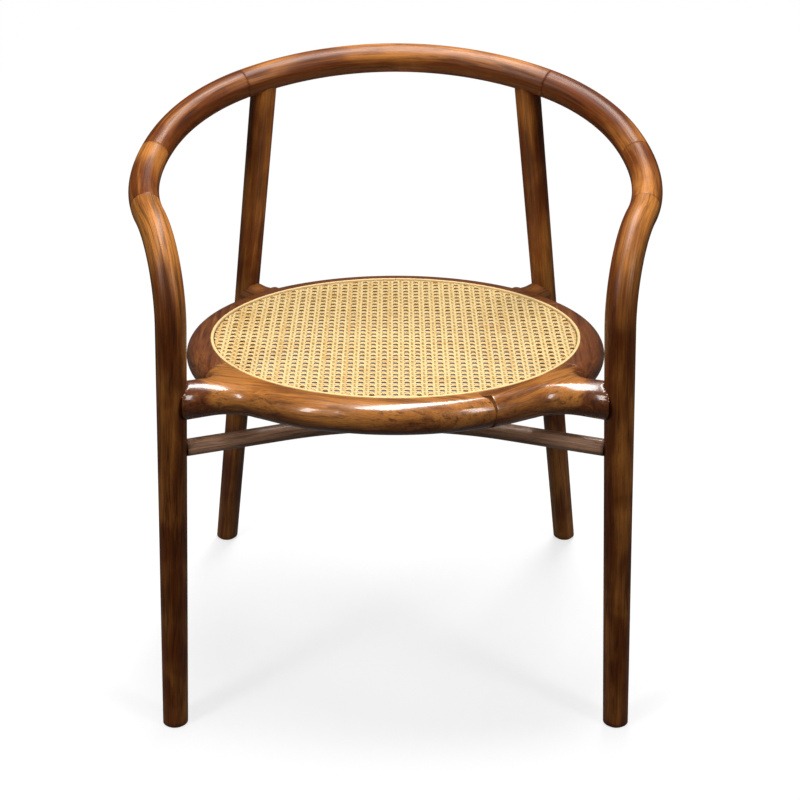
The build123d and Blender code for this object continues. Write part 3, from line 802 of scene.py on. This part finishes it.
def cane_material(name, pale, golden):
    """Split rattan: pale skin with long fibres, slow golden stretches, brown nicks and painted
    shade.
    """
    material, n = new_material(name)
    vector = n.carried("grain", "Vector")
    slow = n.noise(n.stretch(vector, (28, 60, 60)), 2.0)
    fibres = n.noise(n.stretch(vector, (60, 2600, 2600)), 2.0, 0.6)
    nicks = n.noise(n.stretch(vector, (260, 900, 900), (2, 5, 1)), 2.0)
    gold = n.span(n.math("ADD", slow, n.math("MULTIPLY", n.carried("shade"), 0.35)), 0.42, 0.95)
    colour = n.mix(gold, (*pale, 1), (*golden, 1))
    lines = n.math("MULTIPLY", n.span(fibres, 0.5, 0.75), 0.35)
    colour = n.mix(lines, colour, tuple(c * 0.62 for c in golden) + (1,))
    nick = n.math("MULTIPLY", n.span(nicks, 0.68, 0.76), 0.55)
    colour = n.mix(nick, colour, (0.16, 0.07, 0.02, 1))
    # painted shade: dark where the mesh's edge is high, on strand walls and where strands enter the
    # groove
    deep = n.span(n.carried("edge"), 0.1, 0.8, 0.0, 0.94)
    relief = n.new("ShaderNodeBump", {"Strength": 0.3, "Distance": 0.0001, "Height": fibres})
    n.surface({
        "Base Color": n.mix(deep, colour, (0.085, 0.028, 0.006, 1)),
        "Roughness": n.span(fibres, 0.3, 0.8, 0.36, 0.52), "Normal": relief.outputs[0],
    })
    return material


def drift(distance, side=1):
    """Slow change of tone along a stick: three sines of unrelated lengths."""
    s = distance * side
    return 0.10 * np.sin(s / 61.0 + 0.9) + 0.07 * np.sin(s / 27.0 + 2.4) + 0.05 * np.sin(s / 13.0)


def hoop_tone(distance, side=1):
    """Tone of the back and arms, by distance from the middle: amber, then browner."""
    return 0.14 - 0.22 * smooth((np.abs(distance) - 120.0) / 160.0) + drift(distance, side)


def leg_tone(distance, side):
    """Tone of a front leg from its joint down: amber in the bend, partly painted highlight where
    the bend faces the light, calmer below it.
    """
    # bend: painted highlight on the bend that faces the lamp, stronger on the left leg, over the
    # wood's own amber
    bend = (0.60 if side < 0 else 0.20) * np.exp(-(((distance - 62.0) / 46.0) ** 2))
    below = smooth((distance - 90.0) / 110.0)
    return bend + 0.22 * below + (0.8 - 0.55 * below) * drift(distance, side)


# ---------------------------------------------------------------- settings
def colour_setting(name, description, default):
    """A colour that a user may pick."""
    return FloatVectorProperty(name=name, description=description, subtype="COLOR", size=3,
                               min=0, max=1, default=default)


def length_setting(name, description, default, least, most):
    """A length that a user may set, in metres."""
    return FloatProperty(name=name, description=description, subtype="DISTANCE", unit="LENGTH",
                         default=default, min=least, max=most)


class ARMCHAIR_PG_finish(bpy.types.PropertyGroup):
    """Colours and sizes that a user may change."""

    amber: colour_setting("Amber", "Lightest tone of the lacquered wood", (0.52, 0.194, 0.038))
    brown: colour_setting("Brown", "Main tone of the lacquered wood", (0.155, 0.037, 0.005))
    dark: colour_setting("Dark", "Streaks, pores and joint lines", (0.030, 0.006, 0.002))
    pale: colour_setting("Pale cane", "Palest tone of the cane", (0.85, 0.62, 0.285))
    golden: colour_setting("Golden cane", "Deepest tone of the cane", (0.70, 0.42, 0.14))
    pitch: length_setting("Mesh", "From one hole of the weave to the next", 0.0127, 0.008, 0.02)
    strand_width: length_setting("Strand width", "Width of one strand", 0.0022, 0.001, 0.003)
    strand_thickness: length_setting("Strand thickness", "Thickness of one strand", 0.00045,
                                     0.0002, 0.0008)
    seed: IntProperty(name="Seed", description="Varies the strands from each other",
                      default=11, min=0)


class ArmchairPart:
    """What every operator of this add-on shares."""

    bl_options = {"REGISTER", "UNDO"}

    @property
    def finish(self):
        """The user's settings."""
        return bpy.context.scene.armchair_finish


# ---------------------------------------------------------------- operators
class ARMCHAIR_OT_hoop(ArmchairPart, bpy.types.Operator):
    """Crest rail, arms and front legs, the one line of round wood"""

    bl_idname = "armchair.hoop"
    bl_label = "Hoop and front legs"

    def execute(self, context):
        wood = wood_of("hoop", self.finish)
        angles = np.linspace(-CREST_HALF, CREST_HALF, 120)
        points, ways = hoop_at(angles), hoop_direction(np.abs(angles))
        points[angles < 0] *= [-1, 1, 1]
        ways[angles < 0] *= [1, -1, -1]
        points[0] += ways[0] * JOINT_LINE
        points[-1] -= ways[-1] * JOINT_LINE
        half = arc_lengths(points)[-1] / 2
        crest = tube((points, ways), HOOP_RADIUS, 40.0, tone=lambda along: hoop_tone(along - half))
        place(crest, "crest_rail", "wood", wood)

        sweep = np.linspace(CREST_HALF, ARM_END, 60)
        shares = (0.0, ELBOW_START, ELBOW_END, 1.0)
        levelling = [levelling_arc(low, high, 34) for low, high in zip(shares, shares[1:])]
        foot = at_height(FRONT_FOOT, FRONT_SEAT, FOOT_HEIGHT)
        straight = np.linalg.norm(foot - BEND_END)
        around_side = chain((hoop_at(sweep), hoop_direction(sweep)), levelling[0])
        down = chain(
            levelling[2], arc(ARM_JOINT, ARM_JOINT_WAY, BEND_END, 60), line(BEND_END, foot, 90)
        )
        for name, side in SIDES:
            begin = half
            for part, (points, ways), offset in (
                ("arm", around_side, 600.0 + 150 * side),
                ("elbow", levelling[1], 1100.0 + 90 * side),
                ("front_leg", down, 1500.0 + 300 * side),
            ):
                leg = part == "front_leg"
                points = points.copy()
                points[0] += ways[0] * JOINT_LINE
                if not leg:
                    points[-1] -= ways[-1] * JOINT_LINE
                along = arc_lengths(points)
                taper = np.clip(1 - (along[-1] - along) / straight, 0, 1) if leg else 0 * along
                radii = HOOP_RADIUS + (FRONT_FOOT_RADIUS - HOOP_RADIUS) * taper

                def tone(distance, part=part, begin=begin, side=side):
                    if part == "front_leg":
                        return leg_tone(distance, side)
                    return hoop_tone(begin + distance, side) + 0.02 * (part == "elbow")

                rod = tube((points, ways), radii, offset, side=side, tone=tone, level=leg)
                place(rod, f"{name}_{part}", "wood", wood)
                begin += along[-1]
        return {"FINISHED"}


def coped_top(side_points, way):
    """How far each line along a rear leg runs before it meets the round of the hoop.

    The hoop is a ring of radius R about its centre: distance from the ring's line less r.
    """
    centre = HOOP_ORIGIN - HOOP_AXES[1] * CREST_RADIUS
    normal = HOOP_AXES[2]

    def clear(reach):
        p = side_points + way * reach[:, None] - centre
        up = p @ normal
        flat = np.linalg.norm(p - up[:, None] * normal, axis=1)
        return np.hypot(flat - CREST_RADIUS, up) - HOOP_RADIUS - FIT > 0

    start = np.zeros(len(side_points))
    return crossing(start, start + COPE_SEARCH, clear, 26)[0]


class ARMCHAIR_OT_rear_legs(ArmchairPart, bpy.types.Operator):
    """Straight tapered rear legs, coped to the underside of the hoop"""

    bl_idname = "armchair.rear_legs"
    bl_label = "Rear legs"

    def execute(self, context):
        wood = wood_of("leg", self.finish)
        length = np.linalg.norm(REAR_TOP - REAR_FOOT)
        turn = np.linspace(0, 2 * math.pi, 64, endpoint=False)
        u, v = (w[0] for w in round_frame(REAR_AXIS[None]))
        ring = np.cos(turn)[:, None] * u + np.sin(turn)[:, None] * v
        below = length - COPE_SEARCH
        side_points = REAR_FOOT + REAR_AXIS * below + ring * REAR_TOP_RADIUS
        top_reach = below + coped_top(side_points, REAR_AXIS)
        # each line starts at one height above the floor, so the foot is level
        begin = (FOOT_HEIGHT - REAR_FOOT_RADIUS * ring[None, :, 2]) / REAR_AXIS[2]
        t = np.concatenate([[0, 0.0006, 0.0015], np.linspace(0.01, 0.999, 118), [1]])[:, None]
        along = begin + (top_reach[None] - begin) * t
        radii = REAR_FOOT_RADIUS + (REAR_TOP_RADIUS - REAR_FOOT_RADIUS) * along / length
        radii = radii - 0.9 * np.exp(-(along - begin) / 0.35)
        radii[-1] -= 0.25
        grid = REAR_FOOT + REAR_AXIS * along[..., None] + ring * radii[..., None]
        rim = np.minimum(along - begin, top_reach[None] - along)
        for name, side in SIDES:
            offset = 2600.0 + 420 * side
            grain = np.stack([
                along + offset, radii * np.cos(turn) + 3 * offset, radii * np.sin(turn)
            ], -1)
            skin = Skin()
            skin.add(grid * [side, 1, 1], grain, np.exp(-rim / 0.6),
                     drift(along, side) + 0.04, turned=side < 0)
            place(skin, f"{name}_rear_leg", "wood", wood)
        return {"FINISHED"}


class ARMCHAIR_OT_seat_frame(ArmchairPart, bpy.types.Operator):
    """Five pieces of the round seat frame, with the lugs to the legs"""

    bl_idname = "armchair.seat_frame"
    bl_label = "Seat frame"

    def execute(self, context):
        front, side_wood = wood_of("frame", self.finish), wood_of("side_frame", self.finish)
        for name, start, end, lug_side, stepped, wood in (
            ("seat_frame_right", -SIDE_JOINT, SIDE_JOINT, 0, 0, side_wood),
            ("seat_frame_rear", SIDE_JOINT, 180 - SIDE_JOINT, 0, 0, side_wood),
            ("seat_frame_left", 180 - SIDE_JOINT, 180 + SIDE_JOINT, 0, 0, side_wood),
            ("seat_frame_front_left", 180 + SIDE_JOINT, 360 - FRONT_JOINT, -1, 1, front),
            ("seat_frame_front_right", -FRONT_JOINT, -SIDE_JOINT, 1, -1, front),
        ):
            skin = Skin()
            frame_piece(skin, start, end, lug_side, stepped)
            if name == "seat_frame_rear":
                for _, side in SIDES:
                    rear_lug(skin, side)
            place(skin, name, "wood", wood)
        return {"FINISHED"}


def weave_height(along, places, member, pitch, thick):
    """How far a strand lies over or under the middle of the sheet, along its length.

    Diagonals (no member of a pair): over the pairs of one family and under the other's, a
    squared-off cosine.  Others: each strand of a pair goes over one strand of the crossing pair
    and under the other.
    """
    if member is None:
        spacing = pitch / math.sqrt(2)
        cell = np.round(places / spacing - 0.5)[:, None]
        wave = np.cos(math.pi * (along / spacing) - math.pi * (cell + 0.5))
        return 1.1 * thick * np.tanh(2.8 * wave) / math.tanh(2.8)
    phase = 2 * math.pi * (along / pitch - 0.5)
    wave = (np.sin(phase) + 0.35 * np.sin(2 * phase)) / 1.17
    return 0.5 * thick * wave * member[:, None]


class ARMCHAIR_OT_cane(ArmchairPart, bpy.types.Operator):
    """Six-way woven cane: two families of pairs and two of diagonals, over and under each other"""

    bl_idname = "armchair.cane"
    bl_label = "Woven cane"

    def execute(self, context):
        finish = self.finish
        pitch, width = finish.pitch / MM, finish.strand_width / MM
        thick = finish.strand_thickness / MM
        rng = np.random.default_rng(finish.seed)
        material = cane_material("split_cane", finish.pale, finish.golden)
        bed = -LIP_DROP + 1.5 * thick + 0.08
        # angle in the seat, diagonal or not, first over or under, depth in strand thicknesses
        for name, angle, diagonal, sign, depth in (
            ("cane_side_strands", 90.0, False, 1.0, 3.5),
            ("cane_front_to_back_strands", 0.0, False, -1.0, 1.6),
            ("cane_left_diagonals", 45.0, True, 1.0, 1.0),
            ("cane_right_diagonals", -45.0, True, -1.0, 1.0),
        ):
            places, member = strand_offsets(diagonal, pitch)
            count = len(places)
            half = np.sqrt(CANE_EDGE**2 - places**2)
            along = half[:, None] * np.linspace(-1, 1, 340 if diagonal else 235)[None]
            lift = sign * weave_height(along, places, None if diagonal else member, pitch, thick)
            sway = 0.10 * np.sin(along / 23.0 + rng.uniform(0, 6.3, (count, 1)))
            sway = sway + 0.05 * np.sin(along / 7.0 + rng.uniform(0, 6.3, (count, 1)))
            widths = width * (1 + 0.05 * rng.standard_normal((count, 1)))
            widths = widths * (1 + 0.03 * np.sin(along / 31.0 + rng.uniform(0, 6.3, (count, 1))))
            # crowned skin side, deep shaded walls, flat underside
            profile = np.array([[-0.5, -depth], [-0.5, 0.1], [-0.22, 0.46], [0.22, 0.46],
                                [0.5, 0.1], [0.5, -depth]])
            # painted shade on a strand's side walls: 1 there, 0 on its skin
            painted_wall_shade = np.array([1.0, 0.2, 0.0, 0.0, 0.2, 1.0])
            across = places[:, None, None] + sway[..., None] + widths[..., None] * profile[:, 0]
            up = bed + lift[..., None] + thick * profile[None, None, :, 1]
            run = np.broadcast_to(along[..., None], across.shape)
            # local axes: across is X and the run is Y, then the whole family is turned
            c, s = math.cos(math.radians(angle)), math.sin(math.radians(angle))
            x, y = across * c - run * s, across * s + run * c
            far = np.hypot(x, y)
            up = up - np.clip(far - CANE_EDGE + 1.2, 0, 2) * 0.25
            start = rng.uniform(0, 900, (count, 1, 1))
            grain = np.stack([run + start, across - places[:, None, None] + start * 0.1,
                              up + start * 0.3], -1)
            shade = rng.uniform(-1, 1, (count, 1, 1))
            # edge: painted shade where the strand dips into the groove and on its walls
            edge = np.maximum(np.exp(-(CANE_EDGE - np.minimum(far, CANE_EDGE)) / 1.2), painted_wall_shade)
            skin = Skin()
            skin.add(from_seat(np.stack([x, y, up], -1)), grain, edge, shade)
            place(skin, name, "woven", material, crease=60.0)
        return {"FINISHED"}


class ARMCHAIR_OT_bead(ArmchairPart, bpy.types.Operator):
    """Reed bead that holds the cane in its groove, butted at the back"""

    bl_idname = "armchair.bead"
    bl_label = "Reed bead"

    def execute(self, context):
        pale, golden = self.finish.pale, self.finish.golden
        inner, outer = GROOVE_RADIUS + 0.05, GROOVE_RADIUS + GROOVE_WIDTH - 0.05
        middle, half = (inner + outer) / 2, (outer - inner) / 2
        gap = math.radians(0.06)
        theta = np.linspace(math.pi / 2 + gap, math.pi * 2.5 - gap, 361)[:, None]
        turn = np.linspace(0, math.pi, 13)
        r = np.concatenate([middle + half * np.cos(turn), [inner, outer]])[None]
        z = np.concatenate([0.9 * np.sin(turn) ** 0.8, [-BEAD_DEPTH, -BEAD_DEPTH]])[None]
        r = r + 0.05 * np.sin(theta * 9.0) * (z > 0)
        points = np.stack(np.broadcast_arrays(r * np.cos(theta), r * np.sin(theta), z), -1)
        grain = np.stack(np.broadcast_arrays(middle * theta, r - middle, z + 40.0), -1)
        skin = Skin()
        skin.add(from_seat(points), grain, shade=-0.9, turned=True)
        reed = cane_material("reed_bead", tuple(min(1.0, c * 1.06) for c in pale),
                             tuple(p * 0.7 + g * 0.3 for p, g in zip(pale, golden)))
        place(skin, "cane_spline", "reed", reed)
        return {"FINISHED"}


class ARMCHAIR_OT_stretcher(ArmchairPart, bpy.types.Operator):
    """Bow stretcher between the front legs"""

    bl_idname = "armchair.stretcher"
    bl_label = "Bow stretcher"

    def execute(self, context):
        end = at_height(FRONT_FOOT, FRONT_SEAT, STRETCHER_HEIGHT)
        corner = np.array([0.0, end[1] + STRETCHER_BOW, STRETCHER_HEIGHT])
        way = unit(corner - end)
        tangent = STRETCHER_BEND * math.tan(math.atan2(abs(way[1]), abs(way[0])))
        start = end + way * (HOOP_RADIUS * 0.93 + FIT)
        bow_start = corner - way * tangent
        bow_end = bow_start * [-1, 1, 1]
        run = chain(
            line(start, bow_start, 30),
            arc(bow_start, way, bow_end, 90),
            line(bow_end, start * [-1, 1, 1], 30),
        )
        place(tube(run, STRETCHER_RADIUS, 3900.0, around=48), "front_stretcher", "wood",
              wood_of("stretcher", self.finish))
        return {"FINISHED"}


class ARMCHAIR_OT_hidden(ArmchairPart, bpy.types.Operator):
    """Finishes of the dowels, the loose tenons and the glides"""

    bl_idname = "armchair.hidden"
    bl_label = "Dowels and glides"

    def execute(self, context):
        beech = plain_material("plain_beech", (0.60, 0.42, 0.25), 0.6, (500, 500, 40), 0.25)
        nylon = plain_material("black_nylon", (0.035, 0.032, 0.03), 0.5, (900, 900, 900), 0.3)
        for node, material in (
            ("rail_joint_dowels", beech),
            ("front_lug_dowels", beech),
            ("rear_lug_dowels", beech),
            ("seat_frame_tenons", beech),
            ("foot_glides", nylon),
        ):
            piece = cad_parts[node]
            piece.data.materials.clear()
            piece.data.materials.append(material)
        return {"FINISHED"}


class ARMCHAIR_OT_stage(ArmchairPart, bpy.types.Operator):
    """Pale floor, soft studio light and the camera"""

    bl_idname = "armchair.stage"
    bl_label = "Stage"

    def execute(self, context):
        scene = context.scene
        self.lay_floor(scene)
        self.light_world(scene)
        for name, where, aim, size, power in SOFTBOXES:
            lamp = bpy.data.lights.new(name, "AREA")
            lamp.shape = "RECTANGLE"
            lamp.size, lamp.size_y = size
            lamp.energy = power
            box = bpy.data.objects.new(name, lamp)
            box.location = where
            toward = Vector(aim) - Vector(where)
            box.rotation_euler = toward.to_track_quat("-Z", "Y").to_euler()
            scene.collection.objects.link(box)
        eye = bpy.data.cameras.new("camera")
        eye.sensor_width = 36.0
        eye.lens = FOCAL_LENGTH * 36.0 / PICTURE_WIDTH
        eye.shift_x = PICTURE_SHIFT / PICTURE_WIDTH
        eye.clip_end = 50.0
        camera = bpy.data.objects.new("camera", eye)
        camera.location = EYE
        camera.rotation_euler = (math.pi / 2 - EYE_DIP, 0.0, 0.0)
        scene.collection.objects.link(camera)
        scene.camera = camera
        scene.view_settings.view_transform = "Standard"
        return {"FINISHED"}

    def lay_floor(self, scene):
        """White to the camera, and near the chair a soft grey that takes its shadow."""
        h = FLOOR_HALF
        mesh = bpy.data.meshes.new("floor")
        mesh.from_pydata([(-h, -h, 0), (h, -h, 0), (h, h, 0), (-h, h, 0)], [], [(0, 1, 2, 3)])
        floor = bpy.data.objects.new("floor", mesh)
        scene.collection.objects.link(floor)
        material, n = new_material("pale_floor")
        where = n.new("ShaderNodeTexCoord").outputs["Object"]
        where = n.stretch(where, (1.0, 1.5, 0.0), (0.0, -0.18, 0.0))
        far = n.new("ShaderNodeVectorMath", {0: where}, operation="LENGTH").outputs["Value"]
        away = n.span(far, SHADOW_START, SHADOW_END)
        seen = n.new("ShaderNodeLightPath").outputs
        grey = n.math("MULTIPLY", n.span(far, SHADOW_START, SHADOW_END, 0.40, 0.03),
                      n.math("ADD", n.math("MULTIPLY", seen["Is Camera Ray"], 0.74), 0.26))
        tone = n.new("ShaderNodeCombineColor", {0: grey, 1: grey, 2: grey}).outputs[0]
        plain = n.math("MAXIMUM", seen["Is Camera Ray"], seen["Is Transmission Ray"])
        plain = n.math("ADD", plain, n.math("MULTIPLY", seen["Is Glossy Ray"], 0.06))
        level = n.math("ADD", n.math("MULTIPLY", away, 0.31), 0.68)
        glow = n.new("ShaderNodeEmission", {0: WHITE, 1: n.math("MULTIPLY", plain, level)})
        both = n.new("ShaderNodeAddShader", {
            0: n.new("ShaderNodeBsdfDiffuse", {0: tone}).outputs[0], 1: glow.outputs[0],
        })
        n.new("ShaderNodeOutputMaterial", {"Surface": both.outputs[0]})
        mesh.materials.append(material)

    def light_world(self, scene):
        """White behind the chair, dim light from all round on it."""
        world = bpy.data.worlds.new("studio")
        scene.world = world
        world.use_nodes = True
        n = Nodes(world.node_tree)
        seen = n.new("ShaderNodeLightPath").outputs
        plain = n.math("MAXIMUM", seen["Is Camera Ray"], seen["Is Transmission Ray"])
        plain = n.math("ADD", n.math("MULTIPLY", plain, 0.90), 0.10)
        strength = n.math("SUBTRACT", plain, n.math("MULTIPLY", seen["Is Glossy Ray"], 0.05))
        background = n.new("ShaderNodeBackground", {0: WHITE, 1: strength})
        n.new("ShaderNodeOutputWorld", {"Surface": background.outputs[0]})


class ARMCHAIR_PT_panel(bpy.types.Panel):
    """Lists the pieces of the armchair and their settings"""

    bl_label = "Horseshoe Back Armchair"
    bl_idname = "ARMCHAIR_PT_panel"
    bl_space_type = "VIEW_3D"
    bl_region_type = "UI"
    bl_category = "Armchair"

    def draw(self, context):
        finish = context.scene.armchair_finish
        for name in ARMCHAIR_PG_finish.__annotations__:
            self.layout.prop(finish, name)
        for operator in OPERATORS:
            self.layout.operator(operator.bl_idname)


OPERATORS = (
    ARMCHAIR_OT_stage,
    ARMCHAIR_OT_hoop,
    ARMCHAIR_OT_rear_legs,
    ARMCHAIR_OT_seat_frame,
    ARMCHAIR_OT_cane,
    ARMCHAIR_OT_bead,
    ARMCHAIR_OT_stretcher,
    ARMCHAIR_OT_hidden,
)
CLASSES = (ARMCHAIR_PG_finish, *OPERATORS, ARMCHAIR_PT_panel)


def register():
    """Add the classes and the settings."""
    for cls in CLASSES:
        bpy.utils.register_class(cls)
    bpy.types.Scene.armchair_finish = PointerProperty(type=ARMCHAIR_PG_finish)


def unregister():
    """Take them out again."""
    del bpy.types.Scene.armchair_finish
    for cls in reversed(CLASSES):
        bpy.utils.unregister_class(cls)


def main():
    """Make every piece."""
    register()
    for operator in OPERATORS:
        group, name = operator.bl_idname.split(".")
        getattr(getattr(bpy.ops, group), name)()


if __name__ == "__main__":
    main()
